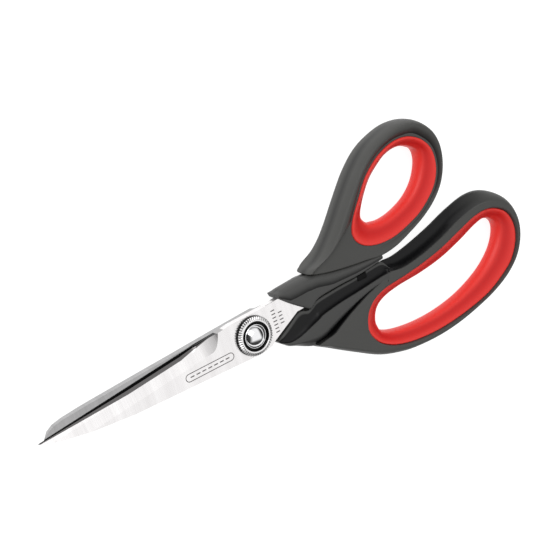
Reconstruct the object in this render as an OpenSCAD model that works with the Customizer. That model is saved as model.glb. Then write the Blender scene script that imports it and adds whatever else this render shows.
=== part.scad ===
// Bent-handle tailor's shears, lying flat and closed.
// Z is up along the pivot axis, X runs from the blade tips to the handles, and
// the thumb bow is on the +Y side. The origin is on the pivot axis, on the
// surface that the shears lie on.

/* [Size] */
// Half the thickness of the handles, and the height of the plane where the blades meet
half_t = 7; // [6.5:0.1:8]
// Distance from the pivot to the points of the blades
point_x = 101; // [95:0.5:106]

/* [Blades] */
// Thickness of one blade
blade_t = 3; // [2.4:0.1:3]
// Gap between the blades, which the slide washer fills
blade_gap = 0.2; // [0.1:0.05:0.3]
// Distance from the cutting edge to the top of the ground face
grind_w = 6.4; // [4:0.1:7]
// Distance from the cutting edge to the top of the edge bevel
bevel_w = 2.2; // [0.8:0.1:2.4]
// Thickness of the blade just behind the edge bevel
bevel_t = 1.7; // [1:0.1:1.8]
// Depth of the stamped lines
stamp_d = 0.15; // [0.1:0.05:0.3]

/* [Pivot] */
// Radius of the screw's shank
shank_r = 3; // [2.5:0.1:3.2]
// Radius of the screw's domed head
head_r = 5.1; // [4.8:0.1:5.6]
// Rise of the dome over the head's rim
dome_h = 2.6; // [2:0.1:3]
// Radius of the serrated tension dial
dial_r = 8.5; // [8:0.1:9]
// Height of the tension dial
dial_h = 1.9; // [1.6:0.1:2.2]
// Number of serrations around the dial
dial_teeth = 48; // [24:1:56]
// Radial play of a running fit
play = 0.05; // [0.02:0.01:0.08]

/* [Handles] */
// Half the thickness of a bow where its liner meets the grip
rim_z = 5.5; // [4.5:0.1:6]
// Largest radius of a grip's rounded outer edge
edge_r = 5.5; // [3:0.1:6]
// Splines' steps from one control point to the next
steps = 3; // [2:1:4]

/* [Hidden] */
$fn = 96;

steel = "#c8cacd";
dark_soft = "#4a4a48";
dark_hard = "#3f3f3e";
red_soft = "#dd3a30";

half_gap = blade_gap / 2;
face_z = half_gap + blade_t;
lip_w = 0.8;
wheel_r = 60;

// Cutting edge of the upper blade: from the point to the heel beside the pivot
edge_point = [-point_x, -0.3];
edge_heel = [-12, 8.6];
edge_angle = atan2(edge_heel.y - edge_point.y, edge_heel.x - edge_point.x);
grind_edge_t = 1.1;

// Upper blade, which belongs to the thumb handle: point, heel, tang and spine
thumb_outline = [
    edge_point, edge_heel, [-9, 9], [6, 9.3], [15, 9.8], [28, 10.6], [44, 7.6], [55, 6.2],
    [55, 4.8], [44, 4.4], [34, 4], [28, 0.9], [23, 0.7], [9.6, -6.3], [7, -8], [3, -8.9],
    [0, -9], [-20, -8.2], [-40, -7.5], [-60, -6.8], [-78, -5], [-90, -3.2], [-99, -1.3]
];

// Lower blade, which belongs to the finger handle: blunt point, spine, tang and edge
finger_outline = [
    [0.4 - point_x, -1.4], [-98.4, -0.3], [-95.5, 2], [-92.5, 3.4], [-88, 4.1], [-76, 4.9],
    [-56, 6], [-36, 7], [-16, 8.1], [0, 8.9], [5, 9.1], [7.5, 8.3], [15, 8.1], [17.4, 7.1],
    [20.4, 4.4], [27.2, -0.6], [31, -2.4], [44, -2], [56, -1.4], [56, -3.4], [46, -7],
    [34, -12.2], [26, -13.4], [15, -9.8], [11.5, -7.8], [8, -8.9], [0, -9], [-12, -8.6]
];

// Necks: both sides of each from the blade backwards, the left (+Y) and the right, and half their thickness
thumb_neck_right = [[15.2, 10.2], [21, 5], [28.6, -0.4], [34, 2.4], [45, 3.1], [55, 3.3], [64, 4.2], [70, 5.2]];
thumb_neck_left = [[13.8, 11.9], [21, 12.5], [31, 13], [36, 12.2], [45, 10.4], [55, 8.8], [64, 7.8], [70, 7]];
thumb_neck_t = [4.8, 5.6, 6.2, 6.5, 6.5, 6.5, 6.3, 5.8];
finger_neck_left = [[10, -7.3], [15, -4.6], [22.5, -0.5], [28, -1.6], [34, 1.4], [45, 2.2], [55, 2.5], [64, 3], [71, 2.2]];
finger_neck_right = [
    [10.8, -8.6], [14.8, -11.9], [20, -14.2], [26.1, -16.3], [33, -15.4], [41, -12.2], [50, -8.6], [60, -5.2], [71, -2.4]
];
finger_neck_t = [4.8, 5.4, 6, 6.4, 6.6, 6.6, 6.6, 6.4, 6];

// Skeleton plates of the cores, which the soft grips are moulded over
plate_z = 2.6;
thumb_plate = [[24, 9], [34, 5.6], [58, 5.8], [64, 10], [58, 13.5], [54, 20], [48, 20], [38, 14.5], [31, 12]];
finger_plate = [[24, -8], [50, -4], [60, -4.6], [57, -8.4], [52, -13], [50, -20], [46, -23], [36, -19], [27, -14]];

// Bows, each from the neck around the bow: grip's outside, grip's seat for the liner, finger hole
thumb_bow_out = [
    [33, 14.4], [33.5, 12.6], [42, 10.2], [52, 8.5], [62, 7.2], [70, 6], [77.9, 7], [86.7, 10.1],
    [95.7, 14], [103.4, 18.9], [109.2, 25.8], [112.9, 34.2], [113.4, 43], [110.4, 50.4], [103.3, 56.4],
    [94, 58.1], [84.4, 56.3], [75.8, 52.7], [67.4, 46], [58.5, 36.4], [48.7, 25.1], [40, 17.3]
];
thumb_bow_seat = [
    [57.9, 22.8], [57.8, 21], [58.8, 17.8], [61.8, 14.8], [66.3, 12.8], [72, 11.8], [79, 12],
    [86.5, 13.8], [94.6, 16.8], [101.8, 21.7], [106.6, 27.1], [109, 34], [108.4, 41.2], [104.4, 47],
    [98, 50.7], [91, 51.6], [83.8, 50.1], [77.4, 47], [71, 42], [65.3, 34.8], [60.8, 29], [58.8, 25.4]
];
thumb_bow_hole = [
    [66.4, 25.8], [66.8, 24.7], [67.6, 23.4], [69.3, 21.8], [72.2, 21], [75.6, 20.5], [80.4, 20.8],
    [86.5, 22.3], [92.3, 24.9], [97.2, 28.8], [100.5, 33.5], [102.4, 38.6], [101.9, 42.7], [98.8, 45.2],
    [94.6, 47.1], [89.9, 47.6], [84.7, 46.6], [79.9, 43.9], [74.9, 40.3], [70.8, 35.6],
    [67.8, 30.7], [66.5, 27.6]
];
finger_bow_out = [
    [26, -16.4], [33.9, -21.8], [45.7, -29.2], [57.6, -36], [69.8, -39.8], [80, -41], [92, -41.1],
    [104, -39.7], [116, -36.8], [127, -33.2], [137, -28.4], [144.4, -21], [147.9, -11.9], [147.3, -3.2],
    [142.8, 5], [134.2, 11], [124, 12.9], [112, 10.8], [100, 7.1], [88, 4.1], [78, 2.4],
    [70.5, 2.4], [69.5, -1.6], [58, -4.6], [46, -9], [34, -14.5]
];
finger_bow_seat = [
    [53.6, -18.6], [53.3, -21.5], [54.6, -25.4], [58.4, -30.2], [65.4, -34.2], [75, -36.7],
    [87, -37.8], [99, -37.4], [111.3, -35.8], [122, -33.3], [131.3, -29], [138.3, -24.2],
    [143, -16.7], [144, -8.8], [140.7, -1.3], [132.7, 3.4], [123.5, 3.8], [112.4, 0.8],
    [100.3, -2.8], [88.2, -5.1], [77.1, -6.4], [69.2, -7], [64, -7.8], [59.5, -9.9], [56, -13],
    [54.2, -16.2]
];
finger_bow_hole = [
    [60.7, -18.7], [60.3, -20.5], [60.4, -22.4], [61.5, -25.5], [66.1, -28.1], [73, -29.9],
    [83, -31.1], [94, -31], [105.2, -29.4], [115.3, -26.3], [123.8, -22.3], [130.5, -17.2],
    [134.6, -11.9], [136.1, -6.8], [134, -3], [129, -0.9], [123.4, -2], [113.2, -5.6],
    [101, -8.8], [88.2, -10.4], [77.1, -10.8], [70.2, -11.7], [66.5, -12.8], [64, -14],
    [62.3, -15.6], [61.3, -17.2]
];

// Stop bumpers, which meet when the shears close
stop_size = [5, 2.6, 8];
stop_x = 58;
stop_y = 3;
stop_gap = 0.2;

// One point of a Catmull-Rom spline between b and c
function spline(a, b, c, d, t) =
    0.5 * (2 * b + (c - a) * t + (2 * a - 5 * b + 4 * c - d) * t * t + (3 * b - a - 3 * c + d) * t * t * t);

// A closed spline through the control points p
function smooth_loop(p) =
    let (n = len(p))
    [
        for (i = [0 : n - 1], j = [0 : steps - 1])
            spline(p[(i + n - 1) % n], p[i], p[(i + 1) % n], p[(i + 2) % n], j / steps)
    ];

// A point d from the point a towards the point b, at height z over the blades' plane
function toward(a, b, d, z) =
    let (u = (b - a) / norm(b - a))
    [a.x + u.x * d, a.y + u.y * d, half_t + z];

// Quarter round from a flat face to an edge, as [distance from the edge, height] pairs
function round_edge(r, h) = [for (a = [90 : -30 : -90]) [r * (1 - cos(a)), h * sin(a)]];

// Cross-section of a grip: flat faces, a rounded outside and a straight seat for the liner
function grip_section(outer, seat) =
    let (w = norm(seat - outer), r = min(0.55 * w, edge_r))
    [
        for (q = concat(
            [[w, rim_z], [w - lip_w, half_t]], round_edge(r, half_t), [[w - lip_w, -half_t], [w, -rim_z]]
        )) toward(outer, seat, q.x, q.y)
    ];

// Cross-section of a liner: half an ellipse on a straight back
function liner_section(seat, hole) =
    let (w = norm(hole - seat))
    [for (a = [90 : -30 : -90]) toward(seat, hole, w * cos(a), rim_z * sin(a))];

// Cross-section of a neck: both long edges rounded
function neck_section(left, right, t) =
    let (w = norm(right - left), r = min(0.4 * w, 3.5))
    concat(
        [for (q = round_edge(r, t)) toward(right, left, q.x, q.y)],
        [for (a = [-90 : 30 : 90]) toward(left, right, r * (1 - cos(a)), t * sin(a))]
    );

// A solid swept through the given cross-sections, which all have the same number of points
module sweep(sections, closed) {
    n = len(sections);
    m = len(sections[0]);
    sides = [
        for (i = [0 : closed ? n - 1 : n - 2], j = [0 : m - 1])
            let (a = i * m + j, b = i * m + (j + 1) % m, k = ((i + 1) % n) * m)
            each [[a, k + (j + 1) % m, b], [a, k + j, k + (j + 1) % m]]
    ];
    caps = closed ? [] : [[for (j = [0 : m - 1]) j], [for (j = [m - 1 : -1 : 0]) (n - 1) * m + j]];
    polyhedron(points = [for (s = sections) each s], faces = concat(sides, caps), convexity = 6);
}

module bow_grip(out, seat) {
    a = smooth_loop(out);
    b = smooth_loop(seat);
    sweep([for (i = [0 : len(a) - 1]) grip_section(a[i], b[i])], true);
}

module bow_liner(seat, hole) {
    a = smooth_loop(seat);
    b = smooth_loop(hole);
    sweep([for (i = [0 : len(a) - 1]) liner_section(a[i], b[i])], true);
}

module neck(left, right, t) {
    sweep([for (i = [0 : len(left) - 1]) neck_section(left[i], right[i], t[i])], false);
}

module plate(outline) {
    translate([0, 0, half_t - plate_z]) linear_extrude(2 * plate_z) polygon(outline);
}

// Turns a shape that is drawn for the upper blade over, for the lower one
module turned_over() {
    translate([0, 0, half_t]) rotate([180, 0, 0]) children();
}

// The grinding wheel's path along a blade: its rim passes through the cutting edge, at height edge_t,
// and through a line at height full_t that is width inside the edge, and its round corner runs out at
// the distance stop before the heel
module wheel_path(edge_t, width, full_t, corner, stop) {
    rise = full_t - edge_t;
    chord = norm([width, rise]);
    reach = sqrt(wheel_r * wheel_r - chord * chord / 4);
    centre = [-width / 2, (edge_t + full_t) / 2] + reach * [rise, width] / chord;
    run = point_x + wheel_r;
    translate([edge_heel.x, edge_heel.y, half_gap]) rotate([0, 0, edge_angle])
        translate([-run - stop, centre.x, centre.y]) rotate([0, 90, 0]) rotate_extrude() {
            square([wheel_r, run - corner]);
            translate([wheel_r - corner, run - corner]) circle(corner);
            square([wheel_r - corner, run]);
        }
}

module ground_faces() {
    wheel_path(grind_edge_t, grind_w, blade_t, 9, 0);
    wheel_path(0.1, bevel_w, bevel_t, 9, 8);
}

module blade_plate(outline) {
    linear_extrude(blade_t) polygon(outline);
}

// Stamped frame and a row of stitches on the upper blade, and two columns of bars behind the dial
module stamps() {
    frame_l = 20.4;
    frame_r = 1.8;
    line_w = 0.35;
    translate([-23.2, -3.6, face_z - stamp_d]) linear_extrude(1) {
        difference() {
            stadium(frame_l, frame_r);
            stadium(frame_l, frame_r - line_w);
        }
        for (i = [-3 : 3]) translate([2.9 * i, 0]) square([1.9, 0.5], center = true);
    }
    translate([11.6, 1.4, face_z - stamp_d]) linear_extrude(1)
        for (i = [-3 : 3]) translate([0, 1.6 * i]) square([1.9, 0.5], center = true);
    translate([14.8, 1.8, face_z - stamp_d]) linear_extrude(1)
        for (i = [-1.5 : 1.5]) translate([0, 1.6 * i]) square([1.9, 0.5], center = true);
}

// A bar of length l between the centres of its round ends, of radius r
module stadium(l, r) {
    square([l, 2 * r], center = true);
    for (s = [-1, 1]) translate([s * l / 2, 0]) circle(r);
}

module thumb_blade() {
    color(steel) translate([0, 0, half_t]) difference() {
        translate([0, 0, half_gap]) blade_plate(thumb_outline);
        ground_faces();
        cylinder(r = shank_r + 1, h = 10, center = true);
        stamps();
    }
}

module finger_blade() {
    color(steel) difference() {
        translate([0, 0, half_t - face_z]) blade_plate(finger_outline);
        turned_over() ground_faces();
        translate([0, 0, half_t]) cylinder(r = shank_r, h = 10, center = true);
    }
}

module thumb_core_form() {
    neck(thumb_neck_left, thumb_neck_right, thumb_neck_t);
    plate(thumb_plate);
}

module finger_core_form() {
    neck(finger_neck_left, finger_neck_right, finger_neck_t);
    plate(finger_plate);
}

module thumb_core() {
    color(dark_hard) difference() {
        thumb_core_form();
        translate([0, 0, half_t + half_gap]) blade_plate(thumb_outline);
        thumb_stop_form();
    }
}

module finger_core() {
    color(dark_hard) difference() {
        finger_core_form();
        translate([0, 0, half_t - face_z]) blade_plate(finger_outline);
        finger_stop_form();
    }
}

module thumb_grip() {
    color(dark_soft) difference() {
        bow_grip(thumb_bow_out, thumb_bow_seat);
        thumb_core_form();
    }
}

module finger_grip() {
    color(dark_soft) difference() {
        bow_grip(finger_bow_out, finger_bow_seat);
        finger_core_form();
    }
}

module thumb_liner() {
    color(red_soft) bow_liner(thumb_bow_seat, thumb_bow_hole);
}

module finger_liner() {
    color(red_soft) bow_liner(finger_bow_seat, finger_bow_hole);
}

module thumb_stop_form() {
    translate([stop_x - stop_size.x / 2, stop_y + stop_gap / 2, half_t - stop_size.z / 2]) cube(stop_size);
}

module finger_stop_form() {
    translate([stop_x - stop_size.x / 2, stop_y - stop_gap / 2 - stop_size.y, half_t - stop_size.z / 2])
        cube(stop_size);
}

module thumb_stop() {
    color("#222222") thumb_stop_form();
}

module finger_stop() {
    color("#222222") finger_stop_form();
}

dial_z = half_t + face_z + play;
well_z = dial_z + 0.8;
head_z = well_z + play;
washer_t = 0.8;
nut_h = half_t - face_z - washer_t;
rim_h = 0.6;
nut_end_t = 0.8;

// Domed head on a low rim, over a plain shank that ends inside the closed nut
module pivot_screw() {
    dome_r = (head_r * head_r + dome_h * dome_h) / (2 * dome_h);
    color("#e6e7e9") {
        translate([0, 0, nut_end_t]) cylinder(r = shank_r, h = head_z - nut_end_t);
        translate([0, 0, head_z]) cylinder(r = head_r, h = rim_h);
        translate([0, 0, head_z + rim_h]) intersection() {
            translate([0, 0, dome_h - dome_r]) sphere(dome_r);
            cylinder(r = head_r, h = dome_h + 1);
        }
    }
}

// Wide serrated ring with a round well for the screw's head
module tension_dial() {
    well_r = 6.3;
    groove = 0.35;
    color("#c2c4c7") difference() {
        translate([0, 0, dial_z]) rotate_extrude() polygon([
            [shank_r + play, 0], [dial_r, 0], [dial_r, dial_h - 0.7], [dial_r - 0.5, dial_h - 0.2],
            [well_r + 0.2, dial_h], [well_r, dial_h - 0.2], [well_r, 0.8], [shank_r + play, 0.8]
        ]);
        for (i = [0 : dial_teeth - 1]) rotate(i * 360 / dial_teeth)
            translate([well_r + 0.5, -groove / 2, dial_z + dial_h - 0.45]) cube([dial_r, groove, 1]);
    }
}

module ring(r_in, r_out, z, h) {
    translate([0, 0, z]) difference() {
        cylinder(r = r_out, h = h);
        translate([0, 0, -1]) cylinder(r = r_in, h = h + 2);
    }
}

module pivot_bushing() {
    color("#b08d57") ring(shank_r + play, shank_r + 1, half_t + half_gap, blade_t);
}

module slide_washer() {
    color("#e8e6dc") ring(shank_r + play, 7, half_t - half_gap, blade_gap);
}

module spring_washer() {
    color("#8f9296") ring(shank_r, 5.6, nut_h, washer_t);
}

module pivot_nut() {
    color(steel) difference() {
        intersection() {
            cylinder(r = 6, h = nut_h, $fn = 6);
            cylinder(r = 5.7, h = nut_h);
        }
        translate([0, 0, nut_end_t]) cylinder(r = shank_r, h = nut_h);
    }
}

thumb_blade();
finger_blade();
thumb_core();
finger_core();
thumb_grip();
finger_grip();
thumb_liner();
finger_liner();
thumb_stop();
finger_stop();
pivot_screw();
pivot_bushing();
slide_washer();
tension_dial();
spring_washer();
pivot_nut();
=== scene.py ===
"""Looks of a pair of bent-handle fabric shears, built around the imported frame.

Lengths inside the classes are in millimetres, and are turned into metres when a mesh is made.
Heights are measured from the plane where the blades meet.
"""

import logging
import math
from collections.abc import Sequence
from dataclasses import dataclass, field
from enum import Enum

import bmesh
import bpy
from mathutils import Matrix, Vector


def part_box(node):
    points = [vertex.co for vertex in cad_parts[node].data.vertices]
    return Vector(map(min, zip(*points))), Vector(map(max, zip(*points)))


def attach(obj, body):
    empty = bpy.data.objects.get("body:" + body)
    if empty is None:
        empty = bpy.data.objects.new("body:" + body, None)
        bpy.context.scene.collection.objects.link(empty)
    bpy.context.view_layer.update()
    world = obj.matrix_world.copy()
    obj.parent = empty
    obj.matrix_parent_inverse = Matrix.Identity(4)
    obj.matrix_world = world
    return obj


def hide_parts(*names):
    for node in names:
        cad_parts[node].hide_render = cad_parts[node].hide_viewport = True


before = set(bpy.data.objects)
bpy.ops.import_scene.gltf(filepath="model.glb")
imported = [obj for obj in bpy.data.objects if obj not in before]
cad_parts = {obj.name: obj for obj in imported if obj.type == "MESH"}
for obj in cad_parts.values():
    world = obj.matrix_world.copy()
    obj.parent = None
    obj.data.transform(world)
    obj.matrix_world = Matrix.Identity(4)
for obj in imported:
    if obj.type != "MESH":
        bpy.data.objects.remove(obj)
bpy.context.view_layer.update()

log = logging.getLogger("shears")

MM = 0.001
MID_Z = 7.0
BLADE_TOP_Z = MID_Z + 3.1
QUARTER = math.pi / 2
Point = tuple[float, ...]
Value = bpy.types.NodeSocket | float | Point
Axes = bpy.types.bpy_prop_collection


class Slot(Enum):
    """The record's material slots."""

    BLADE = "ground_steel"
    SCREW = "polished_steel"
    DIAL = "dial_steel"
    CORE = "dark_core"
    GRIP = "dark_grip"
    LINER = "red_liner"
    STOP = "black_bumper"
    BUSHING = "bronze"
    WASHER = "pale_washer"


class Body(Enum):
    """The moving bodies of the frame."""

    FINGER = "finger_side"
    THUMB = "thumb_side"
    DIAL = "dial"


# ---------------------------------------------------------------- curves


def spline_point(a: Point, b: Point, c: Point, d: Point, t: float) -> Point:
    """Find one point of a Catmull-Rom spline between b and c.

    Args:
        a: Control point before the span.
        b: Start of the span.
        c: End of the span.
        d: Control point after the span.
        t: Place along the span, from 0 to 1.

    Returns:
        The point, with as many numbers as the control points have.
    """
    return tuple(
        0.5 * (2 * q + (r - p) * t + (2 * p - 5 * q + 4 * r - s) * t * t + (3 * q - p - 3 * r + s) * t**3)
        for p, q, r, s in zip(a, b, c, d)
    )


def smooth_loop(points: Sequence[Point], steps: int) -> list[Point]:
    """Run a closed spline through control points.

    Args:
        points: Control points around the loop.
        steps: Steps from one control point to the next.

    Returns:
        The points of the loop, without a repeated last one.
    """
    n = len(points)
    return [
        spline_point(points[i - 1], points[i], points[(i + 1) % n], points[(i + 2) % n], j / steps)
        for i in range(n)
        for j in range(steps)
    ]


def smooth_line(points: Sequence[Point], steps: int) -> list[Point]:
    """Run an open spline through control points.

    Args:
        points: Control points from one end to the other.
        steps: Steps from one control point to the next.

    Returns:
        The points of the line, both ends included.
    """
    padded = [points[0], *points, points[-1]]
    line = [
        spline_point(*padded[i : i + 4], j / steps) for i in range(len(points) - 1) for j in range(steps)
    ]
    return [*line, tuple(points[-1])]


def plan_distance(a: Point, b: Point) -> float:
    """Measure the distance between two points in plan."""
    return math.hypot(b[0] - a[0], b[1] - a[1])


# ---------------------------------------------------------------- meshes


@dataclass(frozen=True)
class Spot:
    """A point of a cross-section: its place, its height and how much painted shade it carries, from 0 to 1.
    """

    x: float
    y: float
    z: float
    painted_shade: float = 0.0

    def place(self) -> Vector:
        """Give the spot's place in the frame, in metres."""
        return Vector((self.x, self.y, self.z + MID_Z)) * MM


def loft(sections: Sequence[Sequence[Spot]], closed: bool) -> bmesh.types.BMesh:
    """Wrap a grid around a row of closed cross-sections.

    Args:
        sections: Cross-sections with the same number of spots.
        closed: Whether the last section joins the first.

    Returns:
        A closed form with its faces outwards.
    """
    along = len(sections) if closed else len(sections) - 1
    around = len(sections[0])
    bm = bmesh.new()
    # Each vertex carries its painted shade, from 0 to 1, which darkens the finish there.
    painted_shade = bm.verts.layers.float.new("painted_shade")
    bmesh.ops.create_grid(bm, x_segments=along, y_segments=around, size=0.5)
    for vert in bm.verts:
        i = round((vert.co.x + 0.5) * along)
        j = round((vert.co.y + 0.5) * around)
        spot = sections[i % len(sections)][j % around]
        vert.co = spot.place()
        vert[painted_shade] = spot.painted_shade
    bmesh.ops.remove_doubles(bm, verts=bm.verts[:], dist=1e-7)
    if not closed:
        bmesh.ops.holes_fill(bm, edges=[e for e in bm.edges if e.is_boundary])
    bmesh.ops.recalc_face_normals(bm, faces=bm.faces[:])
    return bm


def with_front(sections: list[list[Spot]]) -> list[list[Spot]]:
    """Put a slightly lower front with painted shade before the first section, so that its edge is eased."""
    front = [Spot(s.x, s.y, s.z * 0.9, 0.7) for s in sections[0]]
    return [front, *sections]


def turned(profile: Sequence[Point], steps: int) -> bmesh.types.BMesh:
    """Turn a profile around the pivot axis.

    Args:
        profile: Radius and height pairs, a closed outline or one with both ends on the axis.
        steps: Steps of the full turn.

    Returns:
        A closed form with its faces outwards.
    """
    bm = bmesh.new()
    verts = [bm.verts.new(Vector((r, 0, z + MID_Z)) * MM) for r, z in profile]
    edges = [bm.edges.new(pair) for pair in zip(verts, verts[1:])]
    if profile[0][0] > 0:
        edges.append(bm.edges.new((verts[-1], verts[0])))
    bmesh.ops.spin(
        bm, geom=verts + edges, cent=(0, 0, 0), axis=(0, 0, 1), angle=math.tau, steps=steps, use_merge=True
    )
    bmesh.ops.remove_doubles(bm, verts=bm.verts[:], dist=1e-7)
    bmesh.ops.recalc_face_normals(bm, faces=bm.faces[:])
    return bm


def finished(
    name: str,
    bm: bmesh.types.BMesh,
    material: bpy.types.Material,
    body: Body,
    stands_for: str,
    crease: float = 38,
) -> bpy.types.Object:
    """Make a piece from a form, dress it and tie it to the frame.

    Args:
        name: The piece's name.
        bm: The form, which is used up.
        material: The finish.
        body: The body the piece rides on.
        stands_for: The CAD node that it replaces.
        crease: Angle in degrees past which an edge stays sharp.

    Returns:
        The finished piece.
    """
    mesh = bpy.data.meshes.new(name)
    for face in bm.faces:
        face.smooth = True
    bm.to_mesh(mesh)
    bm.free()
    mesh.set_sharp_from_angle(angle=math.radians(crease))
    mesh.materials.append(material)
    piece = bpy.data.objects.new(name, mesh)
    bpy.context.scene.collection.objects.link(piece)
    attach(piece, body.value)
    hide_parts(stands_for)
    log.info("%s: %d faces", name, len(mesh.polygons))
    return piece


# ---------------------------------------------------------------- materials


class Tree:
    """A node tree that is written a line at a time."""

    def __init__(self, tree: bpy.types.NodeTree) -> None:
        """Take an empty or a default tree."""
        self.tree = tree

    def add(self, kind: str, **values: Value | str | bpy.types.NodeTree) -> bpy.types.Node:
        """Add a node.

        Args:
            kind: The node's type name.
            **values: Attributes of the node; a name that starts with in_ sets the input of that name
                or number, or links to it if the value is an output socket.

        Returns:
            The node.
        """
        node = self.tree.nodes.new(kind)
        for key, value in values.items():
            if not key.startswith("in_"):
                setattr(node, key, value)
        for key, value in values.items():
            if key.startswith("in_"):
                label = key[3:]
                socket = node.inputs[int(label) if label.isdigit() else label.replace("_", " ")]
                if isinstance(value, bpy.types.NodeSocket):
                    self.tree.links.new(value, socket)
                else:
                    socket.default_value = value
        return node

    def math(self, operation: str, a: Value, b: Value = 0.5, c: Value = 0.5) -> bpy.types.NodeSocket:
        """Add a Math node and give its output."""
        return self.add("ShaderNodeMath", operation=operation, in_0=a, in_1=b, in_2=c).outputs[0]

    def mix(self, factor: Value, a: Value, b: Value) -> bpy.types.NodeSocket:
        """Add a colour Mix node and give its output."""
        node = self.add("ShaderNodeMix", data_type="RGBA", in_0=factor)
        for socket, value in ((node.inputs[6], a), (node.inputs[7], b)):
            if isinstance(value, bpy.types.NodeSocket):
                self.tree.links.new(value, socket)
            else:
                socket.default_value = value
        return node.outputs[2]

    def noise(self, vector: bpy.types.NodeSocket, scale: float, detail: float = 2) -> bpy.types.NodeSocket:
        """Add a Noise Texture and give its factor."""
        return self.add("ShaderNodeTexNoise", in_Vector=vector, in_Scale=scale, in_Detail=detail).outputs[0]

    def ramp(
        self, value: bpy.types.NodeSocket, start: float, end: float, low: Value = 0.0, high: Value = 1.0
    ) -> bpy.types.NodeSocket:
        """Ramp from low, where the value is start, to high, where it is end, and give the output."""
        node = self.add("ShaderNodeMapRange", in_Value=value, in_1=start, in_2=end, in_3=low, in_4=high)
        return node.outputs[0]

    def spread(self, value: bpy.types.NodeSocket, low: Value, high: Value) -> bpy.types.NodeSocket:
        """Stretch a mask from 0..1 to low..high and give the output."""
        return self.ramp(value, 0.0, 1.0, low, high)


class Group(Enum):
    """Shader node groups that several finishes use."""

    GRAIN = "moulded_grain"
    LINES = "ground_lines"


def new_group(
    name: str, inputs: Sequence[tuple[str, float]], outputs: Sequence[str]
) -> tuple[bpy.types.NodeTree, Tree, bpy.types.Node, bpy.types.Node]:
    """Start a shader node group.

    Args:
        name: The group's name.
        inputs: Names and default values of its inputs.
        outputs: Names of its outputs, all of them values.

    Returns:
        The group, its tree, its input node and its output node.
    """
    group = bpy.data.node_groups.new(name, "ShaderNodeTree")
    for label, default in inputs:
        socket = group.interface.new_socket(label, in_out="INPUT", socket_type="NodeSocketFloat")
        socket.default_value = default
    for label in outputs:
        group.interface.new_socket(label, in_out="OUTPUT", socket_type="NodeSocketFloat")
    tree = Tree(group)
    return group, tree, tree.add("NodeGroupInput"), tree.add("NodeGroupOutput")


def make_grain_group() -> None:
    """Make the group for the fine grain of moulded plastic and the slow mottling from handling."""
    group, tree, given, out = new_group(
        Group.GRAIN.value, [("Grain", 6000), ("Cloud", 60)], ["Height", "Cloud"]
    )
    place = tree.add("ShaderNodeTexCoord").outputs["Object"]
    fine = tree.add("ShaderNodeTexNoise", in_Vector=place, in_Detail=3, in_Scale=given.outputs["Grain"])
    slow = tree.add("ShaderNodeTexNoise", in_Vector=place, in_Detail=4, in_Scale=given.outputs["Cloud"])
    group.links.new(fine.outputs[0], out.inputs["Height"])
    group.links.new(slow.outputs[0], out.inputs["Cloud"])


def make_lines_group() -> None:
    """Make the group for the straight scratches that a grinding wheel leaves."""
    group, tree, given, out = new_group(
        Group.LINES.value, [("Turn", 0), ("Fine", 2600), ("Broad", 240)], ["Height", "Tone"]
    )
    place = tree.add("ShaderNodeTexCoord").outputs["Object"]
    turn = tree.add("ShaderNodeCombineXYZ", in_Z=given.outputs["Turn"]).outputs[0]
    stretch = tree.add("ShaderNodeMapping", in_Vector=place, in_Rotation=turn, in_Scale=(1, 0.02, 0.02))
    lines = stretch.outputs[0]
    fine = tree.add("ShaderNodeTexNoise", in_Vector=lines, in_Detail=4, in_Scale=given.outputs["Fine"])
    broad = tree.add("ShaderNodeTexNoise", in_Vector=lines, in_Detail=3, in_Scale=given.outputs["Broad"])
    group.links.new(fine.outputs[0], out.inputs["Height"])
    tone = tree.math("MULTIPLY_ADD", broad.outputs[0], 0.6, tree.math("MULTIPLY", fine.outputs[0], 0.4))
    group.links.new(tone, out.inputs["Tone"])


@dataclass(frozen=True)
class Finish:
    """What all finishes share."""

    name: str

    def start(self) -> tuple[bpy.types.Material, Tree, bpy.types.Node]:
        """Start a material.

        Returns:
            The material, its tree and its Principled shader.
        """
        material = bpy.data.materials.new(self.name)
        material.use_nodes = True
        tree = Tree(material.node_tree)
        return material, tree, material.node_tree.nodes["Principled BSDF"]

    def group(self, tree: Tree, group: Group, **values: float) -> bpy.types.Node:
        """Place a shared group in the material with its own values."""
        node = tree.add("ShaderNodeGroup", node_tree=bpy.data.node_groups[group.value])
        for label, value in values.items():
            node.inputs[label].default_value = value
        return node

    def bump(self, tree: Tree, shader: bpy.types.Node, height: bpy.types.NodeSocket, depth: float) -> None:
        """Raise the surface by a height mask, whose full depth is given in metres."""
        node = tree.add("ShaderNodeBump", in_Height=height, in_Strength=1.0, in_Distance=depth)
        tree.tree.links.new(node.outputs[0], shader.inputs["Normal"])


@dataclass(frozen=True)
class Moulded(Finish):
    """Moulded plastic or rubber, with a painted shade colour where the mesh carries painted shade."""

    colour: Point = (0.05, 0.05, 0.05)
    worn: Point = (0.06, 0.06, 0.06)
    # Colour of the painted shade in creases, scoops, grooves and gaps.
    painted_shade_colour: Point = (0.004, 0.004, 0.0045)
    roughness: float = 0.5
    deep_roughness: float = 0.3
    specular: float = 0.2
    grain: float = 5200.0
    grain_depth: float = 1.2e-5

    def build(self) -> bpy.types.Material:
        """Build the material."""
        material, tree, shader = self.start()
        marks = self.group(tree, Group.GRAIN, Grain=self.grain, Cloud=55)
        skin = tree.mix(marks.outputs["Cloud"], (*self.colour, 1), (*self.worn, 1))
        # The mesh's painted shade attribute mixes in the painted shade colour.
        painted_shade = tree.add("ShaderNodeAttribute", attribute_name="painted_shade").outputs["Fac"]
        tree.tree.links.new(tree.mix(painted_shade, skin, (*self.painted_shade_colour, 1)), shader.inputs["Base Color"])
        soft = tree.spread(marks.outputs["Cloud"], self.roughness - 0.06, self.roughness + 0.06)
        rough = tree.spread(painted_shade, soft, self.deep_roughness)
        tree.tree.links.new(rough, shader.inputs["Roughness"])
        shader.inputs["Specular IOR Level"].default_value = self.specular
        self.bump(tree, shader, marks.outputs["Height"], self.grain_depth)
        return material


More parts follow.
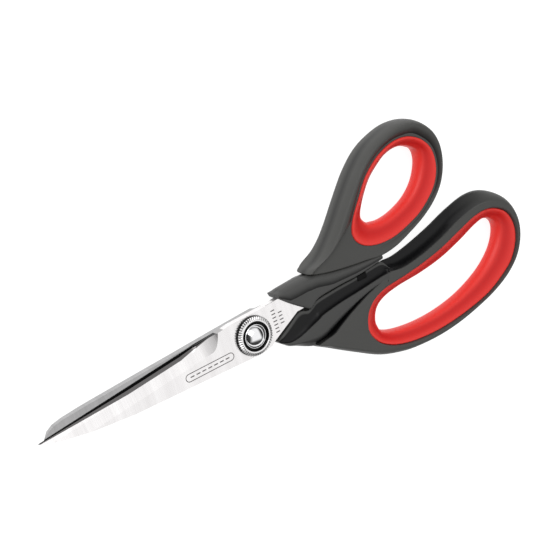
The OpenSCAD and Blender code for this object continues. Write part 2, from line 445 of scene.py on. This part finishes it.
@dataclass(frozen=True)
class Ground(Finish):
    """Steel with straight grinding lines, darker where it is stamped."""

    colour: Point = (0.8, 0.8, 0.8)
    shade: Point = (0.6, 0.6, 0.6)
    roughness: float = 0.25
    turn: float = 0.0
    depth: float = 3e-6
    upper: bool = False
    edge_turn: float = math.radians(5.71)

    def build(self) -> bpy.types.Material:
        """Build the material."""
        material, tree, shader = self.start()
        marks = self.group(tree, Group.LINES, Turn=self.turn)
        tone = tree.spread(marks.outputs["Tone"], -0.6, 1.6)
        steel = tree.mix(tone, (*self.shade, 1), (*self.colour, 1))
        # The upper blade also gets painted shade, dark reflection and shadow along its edge.
        if self.upper:
            place = tree.add("ShaderNodeTexCoord").outputs["Object"]
            axes = tree.add("ShaderNodeSeparateXYZ", in_Vector=place)
            steel = self.painted_edge_shade(tree, steel, axes.outputs)
            steel = tree.mix(self.stamp_mask(tree, axes.outputs), steel, (0.16, 0.15, 0.15, 1))
        tree.tree.links.new(steel, shader.inputs["Base Color"])
        rough = tree.spread(marks.outputs["Height"], self.roughness - 0.08, self.roughness + 0.08)
        tree.tree.links.new(rough, shader.inputs["Roughness"])
        shader.inputs["Metallic"].default_value = 1.0
        self.bump(tree, shader, marks.outputs["Height"], self.depth)
        return material

    def painted_edge_shade(self, tree: Tree, steel: bpy.types.NodeSocket, axes: Axes) -> bpy.types.NodeSocket:
        """Paint shade onto the run-out of the ground face, and a dark reflection and a shadow onto the honed
        bevel and the very edge of the upper blade.

        Args:
            tree: The material's tree.
            steel: Colour of the plain steel.
            axes: X, Y and Z outputs of the place on the blade.

        Returns:
            The colour with the zones.
        """
        heel_x, heel_y = 12 * MM, 8.6 * MM
        slope, lean = math.sin(self.edge_turn), math.cos(self.edge_turn)
        from_heel = tree.math("MULTIPLY_ADD", axes["X"], slope, heel_x * slope)
        depth = tree.math("MULTIPLY_ADD", axes["Y"], -lean, tree.math("ADD", from_heel, heel_y * lean))
        ground = tree.math("LESS_THAN", axes["Z"], (BLADE_TOP_Z - 0.03) * MM)
        blade = tree.math("MULTIPLY", ground, tree.math("LESS_THAN", axes["X"], -12.6 * MM))
        # Painted shade on the run-out, where the grinding wheel ends.
        run_out_shade = tree.math("MULTIPLY", blade, self.between(tree, axes["X"], -25, -17))
        steel = tree.mix(run_out_shade, steel, (0.4, 0.39, 0.39, 1))
        taper = tree.math(
            "MULTIPLY", self.between(tree, axes["X"], -112, -60), self.between(tree, axes["X"], -16, -34)
        )
        # A painted dark reflection on the honed bevel, then a painted shadow along the very edge.
        for width, colour in ((2.1, (0.13, 0.125, 0.125, 1)), (0.85, (0.004, 0.004, 0.004, 1))):
            limit = tree.math("MULTIPLY", taper, width * MM)
            zone = tree.math("MULTIPLY", blade, tree.math("LESS_THAN", depth, limit))
            steel = tree.mix(zone, steel, colour)
        return steel

    def between(
        self, tree: Tree, value: bpy.types.NodeSocket, low: float, high: float
    ) -> bpy.types.NodeSocket:
        """Ramp a value that is in metres, from 0 at low to 1 at high, which are in millimetres."""
        return tree.ramp(value, low * MM, high * MM)

    def stamp_mask(self, tree: Tree, axes: Axes) -> bpy.types.NodeSocket:
        """Mask what lies a little under the upper blade's flat, away from the ground face."""
        under = tree.math("LESS_THAN", axes["Z"], (BLADE_TOP_Z - 0.04) * MM)
        over = tree.math("GREATER_THAN", axes["Z"], (BLADE_TOP_Z - 0.3) * MM)
        from_frame = tree.math("LESS_THAN", axes["Y"], -1.2 * MM)
        behind_ground = tree.math("GREATER_THAN", axes["X"], -38 * MM)
        from_bars = tree.math("GREATER_THAN", axes["X"], 9 * MM)
        zone = tree.math("MAXIMUM", tree.math("MULTIPLY", from_frame, behind_ground), from_bars)
        return tree.math("MULTIPLY", tree.math("MULTIPLY", under, over), zone)


@dataclass(frozen=True)
class Polished(Finish):
    """Turned metal or plain plastic, bright or dull, with a faint mottling and painted shade in its hollows.
    """

    colour: Point = (0.8, 0.8, 0.8)
    stain: Point = (0.7, 0.7, 0.7)
    metallic: float = 1.0
    roughness: float = 0.1
    grain_depth: float = 2e-6

    def build(self) -> bpy.types.Material:
        """Build the material."""
        material, tree, shader = self.start()
        marks = self.group(tree, Group.GRAIN, Grain=4000, Cloud=420)
        skin = tree.mix(marks.outputs["Cloud"], (*self.colour, 1), (*self.stain, 1))
        # The mesh's painted shade attribute mixes in a near-black painted shade.
        painted_shade = tree.add("ShaderNodeAttribute", attribute_name="painted_shade").outputs["Fac"]
        tree.tree.links.new(tree.mix(painted_shade, skin, (0.01, 0.01, 0.01, 1)), shader.inputs["Base Color"])
        rough = tree.spread(marks.outputs["Cloud"], self.roughness * 0.7, self.roughness * 1.3)
        tree.tree.links.new(rough, shader.inputs["Roughness"])
        shader.inputs["Metallic"].default_value = self.metallic
        self.bump(tree, shader, marks.outputs["Height"], self.grain_depth)
        return material


# ---------------------------------------------------------------- handles


@dataclass
class BowForm:
    """Sizes of a bow's cross-section, from the grip's outside to the finger hole."""

    face: float
    crest: float
    fall: float = 2.6
    lip: float = 0.8
    rim: float = 5.5
    ledge: float = 0.5
    trough: float = 0.7
    wall_steps: int = 12
    fall_steps: int = 8
    face_steps: int = 4
    steps: int = 8
    # Strength of the painted shade on the outer wall near the middle plane.
    middle_plane_shade: float = 0.6
    # Strength of the painted shade in the crease below the crest.
    crease: float = 0.92

    def wall(self, t: float, edge: float, top: float, scoop: float) -> tuple[float, float, float]:
        """Follow the outside from the middle plane up to the crest.

        Args:
            t: Place along the wall, from 0 to 1.
            edge: Depth of the wall in plan.
            top: Height of the crest.
            scoop: Share of a scooped wall in a rounded one.

        Returns:
            Depth from the outline, height, and how much painted shade the place carries.
        """
        angle = t * QUARTER
        round_d = edge * (1 - math.cos(angle) ** 0.85)
        round_z = top * math.sin(angle) ** 0.9
        start = 0.15
        if t < start:
            scoop_d, scoop_z = 0.25 * t / start, self.ledge * t / start
        else:
            bend = (t - start) / (1 - start)
            scoop_d = 0.25 + (edge - 0.25) * math.sin(bend * QUARTER) ** 1.1
            scoop_z = self.ledge + (top - self.ledge) * (1 - math.cos(bend * QUARTER)) ** 1.15
        # Painted shade fills the scoop and darkens the outer wall near the middle plane.
        painted_shade = max(scoop if start < t < 1 else 0.0, self.middle_plane_shade * max(0.0, 1 - t * 4))
        return round_d + (scoop_d - round_d) * scoop, round_z + (scoop_z - round_z) * scoop, painted_shade

    def half(self, width: float, edge: float, roll: float, scoop: float, slant: float) -> list[Point]:
        """Draw the upper half of the grip's cross-section.

        Args:
            width: Distance from the outline to the seat.
            edge: Depth of the rounded wall, square to the outline.
            roll: How far the crest stands over the face, from 0 to 1.
            scoop: Share of a scooped wall in a rounded one.
            slant: How many times longer the section is than a square one.

        Returns:
            Depth, height and painted shade from the outline to the seat.
        """
        fit = min(1.0, (width - self.lip - 0.3) / ((edge + self.fall) * slant))
        edge, fall = edge * slant * fit, self.fall * slant * fit
        top = self.face + (self.crest - self.face) * roll
        line = [self.wall(i / self.wall_steps, edge, top, scoop) for i in range(self.wall_steps + 1)]
        for i in range(1, self.fall_steps + 1):
            t = i / self.fall_steps
            height = self.face + (top - self.face) * math.cos(t * QUARTER)
            # The crease below the crest gets painted shade, stronger towards the face.
            line.append((edge + fall * t, height, self.crease * roll * t**1.7))
        foot_d = edge + fall + 0.12
        flat = width - self.lip - foot_d
        for i in range(self.face_steps + 1):
            line.append((foot_d + flat * i / self.face_steps, self.face, 0.0))
        foot = self.rim - 0.6
        for i in range(1, 5):
            angle = i / 4 * QUARTER
            line.append(
                (width - self.lip * (1 - math.sin(angle)), foot + (self.face - foot) * math.cos(angle), 0.0)
            )
        return line


@dataclass
class Bow:
    """A grip with its liner: each outer point has the depth of its rounded edge, its roll and its scoop."""

    side: str
    body: Body
    form: BowForm
    outer: list[Point]
    seat: list[Point]
    hole: list[Point]

    def sections(self) -> list[list[Spot]]:
        """Draw the grip's cross-sections all the way around."""
        outer = smooth_loop(self.outer, self.form.steps)
        seat = smooth_loop(self.seat, self.form.steps)
        found = []
        for i, (a, b) in enumerate(zip(outer, seat)):
            before, after = outer[i - 1], outer[(i + 1) % len(outer)]
            along = Vector((after[0] - before[0], after[1] - before[1])).normalized()
            width = plan_distance(a, b)
            across = Vector((b[0] - a[0], b[1] - a[1])) / width
            square = abs(along.x * across.y - along.y * across.x)
            slant = 1 / max(square, 0.4)
            roll, scoop = (min(max(value, 0.0), 1.0) for value in a[3:5])
            upper = [
                Spot(a[0] + across.x * d, a[1] + across.y * d, z, painted_shade)
                for d, z, painted_shade in self.form.half(width, max(a[2], 0.5), roll, scoop, slant)
            ]
            lower = [Spot(s.x, s.y, -s.z, s.painted_shade) for s in reversed(upper[1:])]
            found.append(upper + lower)
        return found

    def liner_sections(self) -> list[list[Spot]]:
        """Draw the liner's cross-sections: a bead at the seat, a shallow trough and a round to the hole."""
        rim = self.form.rim
        found = []
        for a, b in zip(smooth_loop(self.seat, self.form.steps), smooth_loop(self.hole, self.form.steps)):
            width = plan_distance(a, b)
            across = Vector((b[0] - a[0], b[1] - a[1])) / width
            line = [(0.06, rim - 0.6, 0), (0.16, rim - 0.22, 0), (0.4, rim - 0.03, 0)]
            for i in range(15):
                t = i / 14
                dip = self.form.trough * math.sin(math.pi * min(t * 1.6, 1.0)) ** 2 * min(1.0, width / 7)
                height = rim * max(math.cos(t * QUARTER), 0.0) ** 0.9 - dip
                place = 0.7 + (width - 0.7) * math.sin(t * QUARTER) ** 0.95
                # The trough between bead and hole gets painted shade, a darker red strongest a third of the
                # way down.
                line.append((place, height, math.sin(math.pi * min(t * 1.5, 1.0)) ** 1.3))
            upper = [Spot(a[0] + across.x * d, a[1] + across.y * d, z, painted_shade) for d, z, painted_shade in line]
            found.append(upper + [Spot(s.x, s.y, -s.z, s.painted_shade) for s in reversed(upper[:-1])])
        return found

    def build(self, grip: bpy.types.Material, liner: bpy.types.Material) -> None:
        """Build and dress the grip and its liner."""
        finished(
            f"{self.side}_soft_grip", loft(self.sections(), True), grip, self.body,
            f"{self.side}_grip", 48,
        )
        finished(
            f"{self.side}_soft_liner", loft(self.liner_sections(), True), liner, self.body,
            f"{self.side}_liner", 50,
        )


@dataclass
class ThumbCore:
    """The hard core of the thumb handle: each point has right x, y, left x, y and a share of full height."""

    face: float = 5.1
    crest: float = 5.8
    edge: float = 2.6
    fall: float = 3.2
    corner: float = 0.8
    # Strength of the painted shade in the crease below the crest.
    crease: float = 0.85
    rails: list[Point] = field(
        default_factory=lambda: [
            (16, 9.6, 15.4, 11.9, 0.8), (18, 7.7, 17.2, 12.2, 0.83), (21, 5.1, 19, 12.6, 0.86),
            (24, 2.8, 23, 12.8, 0.9), (27, 0.6, 27.5, 13, 0.94), (28.6, -0.4, 30, 13.1, 0.96),
            (30.4, 0.3, 32, 12.9, 0.98), (34, 2.3, 36, 12.6, 1), (45, 3.1, 45, 10.4, 1),
            (55, 3.3, 55, 8.8, 1), (64, 4.2, 64, 7.8, 1), (70, 5.2, 70, 7, 0.98),
        ]
    )

    def section(self, station: Point) -> list[Spot]:
        """Draw one cross-section, from the left side to the right."""
        rx, ry, lx, ly, height = station
        width = math.hypot(rx - lx, ry - ly)
        across = Vector((rx - lx, ry - ly)) / width
        fit = min(1.0, width / 8)
        face, crest = self.face * height, (self.face + (self.crest - self.face) * fit) * height
        edge, fall, corner = self.edge * fit, self.fall * fit, self.corner * fit
        line = []
        for i in range(9):
            angle = i / 8 * QUARTER
            # The wall's foot at the middle plane gets painted shade.
            line.append((edge * (1 - math.cos(angle)), crest * math.sin(angle) ** 0.9, 0.6 if i == 0 else 0))
        for i in range(1, 7):
            t = i / 6
            top = face + (crest - face) * math.cos(t * QUARTER)
            # The crease below the crest gets painted shade, stronger towards the face.
            line.append((edge + fall * t, top, self.crease * t**1.7))
        start = edge + fall + 0.1
        line += [(start + (width - corner - start) * i / 4, face, 0) for i in range(5)]
        for i in range(1, 5):
            angle = i / 4 * QUARTER
            line.append((width - corner * (1 - math.sin(angle)), face - corner * (1 - math.cos(angle)), 0))
        # The right wall, facing the finger core, gets painted shade.
        line += [(width, face - corner - 0.2, 0.6), (width, face * 0.5, 0.2)]
        upper = [Spot(lx + across.x * d, ly + across.y * d, z, painted_shade) for d, z, painted_shade in line]
        return upper + [Spot(s.x, s.y, -s.z, s.painted_shade) for s in reversed(upper[1:])]

    def build(self, material: bpy.types.Material) -> None:
        """Build and dress the core."""
        sections = with_front([self.section(station) for station in smooth_line(self.rails, 5)])
        finished("thumb_hard_core", loft(sections, False), material, Body.THUMB, "thumb_core", 40)


@dataclass
class FingerCore:
    """The hard core of the finger handle: left, crest and right x, y and a share of full height."""

    face: float = 6.6
    ledge_z: float = 3.6
    ledge_w: float = 1.0
    groove_w: float = 4.2
    groove_d: float = 2.4
    rails: list[Point] = field(
        default_factory=lambda: [
            (10, -7.3, 10.5, -8.1, 10.8, -8.6, 0.62), (12.4, -6, 12.7, -9.2, 12.8, -10.2, 0.68),
            (15, -4.6, 15.2, -9.9, 14.8, -11.8, 0.74), (18.6, -2.6, 18.4, -9.7, 17.6, -12.9, 0.82),
            (22.5, -0.3, 21.6, -8.9, 20, -14, 0.88), (25.2, 0, 24.4, -7.9, 23, -15.4, 0.93),
            (28, -1, 27.5, -6.8, 26.1, -16.4, 0.97), (31, 0.2, 30.6, -5.8, 29.6, -16.2, 0.99),
            (34, 1.4, 33.6, -4.7, 33, -15.4, 1), (45, 2.2, 43.6, -3.4, 41, -12.2, 1),
            (55, 2.5, 53, -2.7, 50, -8.6, 1), (64, 3.5, 62.4, -1.8, 60, -5.4, 1.01),
            (70, 3.2, 70, -1.4, 69.5, -4.4, 1.025), (74, -2.2, 74, -3, 74, -5, 1),
        ]
    )

    def section(self, station: Point) -> list[Spot]:
        """Draw one cross-section, from the left wall over the scoop and the face to the groove."""
        lx, ly, cx, cy, rx, ry, height = station
        rise = math.hypot(cx - lx, cy - ly)
        flat = math.hypot(rx - cx, ry - cy)
        inward, outward = Vector((cx - lx, cy - ly)) / rise, Vector((rx - cx, ry - cy)) / flat
        fit = min(1.0, rise / 4)
        top = self.face * height
        ledge, width = min(self.ledge_z, top - 0.6), self.ledge_w * fit
        # The left wall, facing the thumb core, gets painted shade.
        line = [
            (0, 0, 0.2), (0, ledge - 0.5, 0.5), (0.15, ledge - 0.15, 0), (0.4 * fit, ledge, 0),
            (width, ledge, 0),
        ]
        # The scoop up to the crest gets full painted shade, for the shadow of the thumb handle.
        for i in range(1, 10):
            t = i / 9
            line.append(
                (
                    width + (rise - width) * math.sin(t * QUARTER) ** 1.15,
                    ledge - 0.4 * math.sin(t * math.pi) + (top - ledge) * (1 - math.cos(t * QUARTER)) ** 1.1,
                    1 if t < 0.95 else 0,
                )
            )
        upper = [Spot(lx + inward.x * d, ly + inward.y * d, z, painted_shade) for d, z, painted_shade in line]
        runs = min(1.0, max(0.0, (66 - rx) / 14))
        slope, groove = min(self.groove_w, flat * 0.45), self.groove_d * runs
        edge = [(flat * 0.1, top, 0), ((flat - slope) * 0.5, top, 0)]
        # The groove between core and grip gets painted shade, stronger towards its floor.
        for i in range(6):
            t = i / 5
            sunk = top - groove * (1 - math.cos(t * QUARTER))
            edge.append((flat - slope * (1 - t), sunk, runs * min(1.0, t * 1.6)))
        upper += [Spot(cx + outward.x * d, cy + outward.y * d, z, painted_shade) for d, z, painted_shade in edge]
        return upper + [Spot(s.x, s.y, -s.z, s.painted_shade) for s in reversed(upper[1:])]

    def build(self, material: bpy.types.Material) -> None:
        """Build and dress the core."""
        sections = with_front([self.section(station) for station in smooth_line(self.rails, 5)])
        finished(
            "finger_hard_core", loft(sections, False), material, Body.FINGER, "finger_core", 40
        )


@dataclass
class Stops:
    """The two bumpers, which meet when the shears close."""

    round_r: float = 0.35
    segments: int = 3

    def build(self, material: bpy.types.Material) -> None:
        """Build and dress both bumpers."""
        for side, body in (("thumb", Body.THUMB), ("finger", Body.FINGER)):
            low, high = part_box(f"{side}_stop")
            bm = bmesh.new()
            bmesh.ops.create_cube(bm, size=1)
            bmesh.ops.scale(bm, vec=high - low, verts=bm.verts[:])
            bmesh.ops.translate(bm, vec=(high + low) / 2, verts=bm.verts[:])
            bmesh.ops.bevel(
                bm, geom=bm.edges[:], offset=self.round_r * MM, segments=self.segments, affect="EDGES",
                profile=0.5, material=-1,
            )
            finished(f"{side}_bumper", bm, material, body, f"{side}_stop")


# ---------------------------------------------------------------- pivot


@dataclass
class Pivot:
    """The domed screw and the serrated tension dial on the pivot axis."""

    shank_r: float = 3.0
    head_r: float = 5.1
    head_z: float = 4.0
    rim_h: float = 0.6
    dome_h: float = 2.6
    dial_r: float = 8.5
    dial_z: float = 3.15
    dial_h: float = 1.9
    well_r: float = 6.3
    play: float = 0.05
    teeth: int = 48
    tooth_d: float = 0.45

    def screw_profile(self) -> list[Point]:
        """Draw half of the screw, from the top of its dome to the end of its shank."""
        dome_r = (self.head_r - 0.35) ** 2 / (2 * self.dome_h) + self.dome_h / 2
        top = self.head_z + self.rim_h + self.dome_h
        reach = math.asin((self.head_r - 0.35) / dome_r)
        line = []
        for i in range(19):
            angle = reach * i / 18
            line.append((dome_r * math.sin(angle), top - dome_r * (1 - math.cos(angle))))
        rim = self.head_z + self.rim_h
        line += [(self.head_r - 0.28, rim - 0.04), (self.head_r - 0.1, rim - 0.02), (self.head_r, rim - 0.14)]
        line += [(self.head_r, self.head_z + 0.1), (self.head_r - 0.1, self.head_z)]
        return line + [(self.shank_r, self.head_z), (self.shank_r, 0.8 - MID_Z), (0, 0.8 - MID_Z)]

    def dial_profile(self) -> list[Point]:
        """Draw the dial's ring, from its bore over the well and the serrated top to its underside."""
        low, top = self.dial_z, self.dial_z + self.dial_h
        bore = self.shank_r + self.play
        well = low + 0.8
        return [
            (bore, low), (bore, well), (self.well_r - 0.2, well), (self.well_r, well + 0.2),
            (self.well_r, top - 0.2), (self.well_r + 0.12, top - 0.05), (self.well_r + 0.4, top),
            (6.95, top - 0.02), (7.2, top - 0.05), (self.dial_r - 0.5, top - 0.22),
            (self.dial_r - 0.15, top - 0.45), (self.dial_r, top - 0.7), (self.dial_r, low + 0.15),
            (self.dial_r - 0.15, low),
        ]

    def serrate(self, bm: bmesh.types.BMesh) -> None:
        """Press the serrations into the dial's top and side, and paint shade into them, into the well and
        onto the lower side.
        """
        painted_shade = bm.verts.layers.float.new("painted_shade")
        for vert in bm.verts:
            r, z = math.hypot(vert.co.x, vert.co.y), vert.co.z / MM - MID_Z
            # The well and the dial's lower side get full painted shade.
            if r < 6.35 * MM or z < self.dial_z + self.dial_h - 0.6:
                vert[painted_shade] = 1.0
            if r < 7.1 * MM or z < self.dial_z + 0.3:
                continue
            turn = math.atan2(vert.co.y, vert.co.x) / math.tau * self.teeth
            valley = (0.5 - 0.5 * math.cos(math.tau * turn)) ** 1.5
            # Serration valleys get painted shade.
            vert[painted_shade] = max(vert[painted_shade], 0.6 * valley)
            vert.co.z -= self.tooth_d * 0.7 * valley * MM
            if r > 8.2 * MM:
                shrink = 1 - self.tooth_d * 0.6 * valley * MM / r
                vert.co.x, vert.co.y = vert.co.x * shrink, vert.co.y * shrink

    def build(self, screw: bpy.types.Material, dial: bpy.types.Material) -> None:
        """Build and dress the screw and the dial."""
        finished(
            "domed_screw", turned(self.screw_profile(), 96), screw, Body.FINGER, "pivot_screw", 40
        )
        bm = turned(self.dial_profile(), self.teeth * 6)
        self.serrate(bm)
        finished("serrated_dial", bm, dial, Body.DIAL, "tension_dial", 35)


# ---------------------------------------------------------------- studio


@dataclass(frozen=True)
class Softbox:
    """A soft area light that looks at the shears."""

    name: str
    place: Point
    size: float
    power: float

    def build(self) -> None:
        """Hang the light."""
        lamp = bpy.data.lights.new(self.name, "AREA")
        lamp.shape, lamp.size, lamp.energy = "SQUARE", self.size, self.power
        light = bpy.data.objects.new(self.name, lamp)
        light.location = self.place
        light.rotation_euler = (Vector((0.03, 0, 0)) - light.location).to_track_quat("-Z", "Y").to_euler()
        bpy.context.scene.collection.objects.link(light)


@dataclass
class Studio:
    """A pale floor, soft light and the camera."""

    camera_place: Point = (-0.270456, 0.224447, 0.515875)
    camera_turn: Point = (-10.0073, -33.7597, -17.9)
    lens: float = 97.297
    floor_size: float = 6.0
    world_strength: float = 1.08
    lights: list[Softbox] = field(
        default_factory=lambda: [
            Softbox("key_softbox", (-0.6, 0.9, 1.0), 1.0, 9),
        ]
    )

    def build(self) -> None:
        """Set up the whole studio."""
        scene = bpy.context.scene
        scene.view_settings.view_transform = "Standard"
        scene.view_settings.look = "None"
        self.build_camera(scene)
        self.build_world(scene)
        self.build_floor()
        for light in self.lights:
            light.build()

    def build_camera(self, scene: bpy.types.Scene) -> None:
        """Place the camera."""
        lens = bpy.data.cameras.new("camera")
        lens.lens, lens.sensor_width = self.lens, 36
        lens.clip_start, lens.clip_end = 0.01, 50
        camera = bpy.data.objects.new("camera", lens)
        camera.location = self.camera_place
        camera.rotation_euler = [math.radians(a) for a in self.camera_turn]
        scene.collection.objects.link(camera)
        scene.camera = camera

    def build_world(self, scene: bpy.types.Scene) -> None:
        """Make the surroundings white overhead and at the horizon, with dark cards between the two."""
        world = bpy.data.worlds.new("studio_world")
        world.use_nodes = True
        scene.world = world
        tree = Tree(world.node_tree)
        back = world.node_tree.nodes["Background"]
        place = tree.add("ShaderNodeTexCoord").outputs["Generated"]
        axes = tree.add("ShaderNodeSeparateXYZ", in_Vector=place).outputs
        height = tree.ramp(axes["Z"], 0.15, 0.5, 0.02, 1.0)
        side = tree.ramp(axes["Y"], -0.75, -0.5, 0.06, 1.0)
        front = tree.ramp(axes["X"], -0.75, -0.45, 0.05, 1.0)
        back_end = tree.ramp(axes["X"], 0.65, 0.85, 1.0, 0.05)
        sky = tree.math("MULTIPLY", height, side)
        sky = tree.math("MULTIPLY", sky, tree.math("MULTIPLY", front, back_end))
        horizon = tree.ramp(axes["Z"], 0.15, 0.2, 1.0, 0.0)
        sky = tree.math("MAXIMUM", sky, horizon)
        world.node_tree.links.new(sky, back.inputs["Color"])
        back.inputs["Strength"].default_value = self.world_strength

    def build_floor(self) -> None:
        """Lay the floor under the shears."""
        bm = bmesh.new()
        bmesh.ops.create_grid(bm, x_segments=4, y_segments=4, size=self.floor_size / 2)
        mesh = bpy.data.meshes.new("floor")
        bm.to_mesh(mesh)
        bm.free()
        material = bpy.data.materials.new("floor_paper")
        material.use_nodes = True
        shader = material.node_tree.nodes["Principled BSDF"]
        shader.inputs["Base Color"].default_value = (0.25, 0.25, 0.25, 1)
        shader.inputs["Emission Color"].default_value = (1, 1, 1, 1)
        shader.inputs["Emission Strength"].default_value = 0.92
        shader.inputs["Roughness"].default_value = 0.6
        mesh.materials.append(material)
        floor = bpy.data.objects.new("floor", mesh)
        bpy.context.scene.collection.objects.link(floor)


# ---------------------------------------------------------------- assembly


def thumb_bow() -> Bow:
    """Describe the thumb bow."""
    return Bow(
        "thumb",
        Body.THUMB,
        BowForm(face=5.0, crest=7.0, fall=3.4),
        outer=[
            (33, 14.4, 1.5, 0.6, 0), (33.5, 12.6, 1, 0, 0), (42, 10.2, 1, 0, 0), (52, 8.5, 1, 0, 0),
            (62, 7.2, 1, 0, 0), (70, 6, 1.2, 0.1, 0), (77.9, 7, 2, 0.4, 0), (86.7, 10.1, 2.2, 0.5, 0),
            (95.7, 14, 2.2, 0.5, 0), (103.4, 18.9, 2.3, 0.6, 0), (109.2, 25.8, 2.4, 0.8, 0),
            (112.9, 34.2, 2.5, 0.8, 0), (113.4, 43, 2.5, 0.9, 0), (110.4, 50.4, 2.5, 1, 0),
            (103.3, 56.4, 2.5, 1, 0), (94, 58.1, 2.5, 1, 0), (84.4, 56.3, 2.5, 1, 0),
            (75.8, 52.7, 2.5, 1, 0), (67.4, 46, 2.5, 1, 0), (58.5, 36.4, 2.5, 1, 0),
            (48.7, 25.1, 2.5, 1, 0), (40, 17.3, 2.4, 1, 0),
        ],
        seat=[
            (57.9, 22.8), (57.8, 21), (58.8, 17.8), (61.8, 14.8), (66.3, 12.8), (72, 11.8), (79, 12),
            (86.5, 13.8), (94.6, 16.8), (101.8, 21.7), (106.6, 27.1), (109, 34), (108.4, 41.2), (104.4, 47),
            (98, 50.7), (91, 51.6), (83.8, 50.1), (77.4, 47), (71, 42), (65.3, 34.8), (60.8, 29),
            (58.8, 25.4),
        ],
        hole=[
            (66.4, 25.8), (66.8, 24.7), (67.6, 23.4), (69.3, 21.8), (72.2, 21), (75.6, 20.5), (80.4, 20.8),
            (86.5, 22.3), (92.3, 24.9), (97.2, 28.8), (100.5, 33.5), (102.4, 38.6), (101.9, 42.7),
            (98.8, 45.2),
            (94.6, 47.1), (89.9, 47.6), (84.7, 46.6), (79.9, 43.9), (74.9, 40.3), (70.8, 35.6),
            (67.8, 30.7), (66.5, 27.6),
        ],
    )


def finger_bow() -> Bow:
    """Describe the finger bow."""
    return Bow(
        "finger",
        Body.FINGER,
        BowForm(face=6.8, crest=6.8, fall=0.6),
        outer=[
            (26, -16.4, 1.1, 0, 0.6), (33.9, -21.8, 2, 0, 0), (45.7, -29.2, 2.4, 0, 0), (57.6, -36, 3, 0, 0),
            (69.8, -39.8, 3.6, 0, 0), (80, -41, 3.6, 0, 0), (92, -41.1, 3.2, 0, 0), (104, -39.7, 3, 0, 0),
            (116, -36.8, 2.8, 0, 0), (127, -33.2, 2.8, 0, 0), (137, -28.4, 3, 0, 0),
            (144.4, -21, 3.2, 0, 0), (147.9, -11.9, 3.2, 0, 0), (147.3, -3.2, 3.3, 0, 0),
            (142.8, 5, 3.6, 0, 0),
            (134.2, 11, 4.4, 0, 0.2), (124, 12.9, 5.2, 0, 0.7), (112, 10.8, 5.2, 0, 1),
            (100, 7.1, 5.4, 0, 1), (88, 4.1, 5.2, 0, 1), (78, 2.4, 4.6, 0, 1), (70.5, 2.4, 3.6, 0, 1),
            (69.5, -1.6, 1.1, 0, 0), (58, -4.6, 1, 0, 0.8), (46, -9, 1.1, 0, 1), (34, -14.5, 1.1, 0, 1),
        ],
        seat=[
            (53.6, -18.6), (53.3, -21.5), (54.6, -25.4), (58.4, -30.2), (65.4, -34.2), (75, -36.7),
            (87, -37.8), (99, -37.4), (111.3, -35.8), (122, -33.3), (131.3, -29), (138.3, -24.2),
            (143, -16.7), (144, -8.8), (140.7, -1.3), (132.7, 3.4), (123.5, 3.8), (112.4, 0.8),
            (100.3, -2.8), (88.2, -5.1), (77.1, -6.4), (69.2, -7), (64, -7.8), (59.5, -9.9), (56, -13),
            (54.2, -16.2),
        ],
        hole=[
            (60.7, -18.7), (60.3, -20.5), (60.4, -22.4), (61.5, -25.5), (66.1, -28.1), (73, -29.9),
            (83, -31.1), (94, -31), (105.2, -29.4), (115.3, -26.3), (123.8, -22.3), (130.5, -17.2),
            (134.6, -11.9), (136.1, -6.8), (134, -3), (129, -0.9), (123.4, -2), (113.2, -5.6),
            (101, -8.8), (88.2, -10.4), (77.1, -10.8), (70.2, -11.7), (66.5, -12.8), (64, -14),
            (62.3, -15.6), (61.3, -17.2),
        ],
    )


def dress_node(node: str, material: bpy.types.Material) -> None:
    """Give a CAD node that stays its finish.

    Args:
        node: The node's name.
        material: The finish.
    """
    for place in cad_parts[node].material_slots:
        place.material = material
    log.info("%s: dressed with %s", node, material.name)


def main() -> None:
    """Build the studio and the shears."""
    logging.basicConfig(level=logging.INFO, format="%(name)s %(message)s")
    make_grain_group()
    make_lines_group()
    Studio().build()

    grip = Moulded("soft_grip", (0.062, 0.062, 0.059), (0.074, 0.074, 0.071), roughness=0.5).build()
    core = Moulded("hard_core", (0.056, 0.056, 0.055), (0.066, 0.066, 0.064), roughness=0.4).build()
    # The liner's darker red is painted shade in its trough.
    liner = Moulded(
        "soft_liner", (0.74, 0.032, 0.026), (0.8, 0.042, 0.033), painted_shade_colour=(0.55, 0.008, 0.007), roughness=0.4,
        deep_roughness=0.42, specular=0.3, grain_depth=6e-6,
    ).build()
    stop = Moulded(
        "bumper", (0.003, 0.003, 0.003), (0.005, 0.005, 0.005), roughness=0.5, specular=0.1
    ).build()

    thumb_bow().build(grip, liner)
    finger_bow().build(grip, liner)
    ThumbCore().build(core)
    FingerCore().build(core)
    Stops().build(stop)
    Pivot().build(
        Polished("screw_chrome", (0.86, 0.86, 0.87), (0.8, 0.8, 0.81), roughness=0.08).build(),
        Polished("dial_nickel", (0.86, 0.85, 0.85), (0.76, 0.75, 0.75), roughness=0.2).build(),
    )
    kept = {
        "thumb_blade": Ground(
            "upper_blade_steel", (0.97, 0.955, 0.955), (0.76, 0.74, 0.74), 0.27, 0.45, upper=True
        ),
        # The lower blade is the same steel, darkened with painted shade from the upper blade over it.
        "finger_blade": Ground("shaded_lower_blade_steel", (0.46, 0.455, 0.46), (0.32, 0.32, 0.32), 0.3, 0.2),
        "pivot_nut": Polished("nut_steel", (0.6, 0.6, 0.6), (0.5, 0.5, 0.5), roughness=0.3),
        "spring_washer": Polished("washer_steel", (0.4, 0.4, 0.42), (0.3, 0.3, 0.31), roughness=0.35),
        "pivot_bushing": Polished("bushing_bronze", (0.5, 0.3, 0.12), (0.4, 0.22, 0.1), roughness=0.3),
        "slide_washer": Polished(
            "pale_washer_plastic", (0.8, 0.78, 0.7), (0.7, 0.68, 0.6), metallic=0, roughness=0.45
        ),
    }
    for node, finish in kept.items():
        dress_node(node, finish.build())


if __name__ == "__main__":
    main()
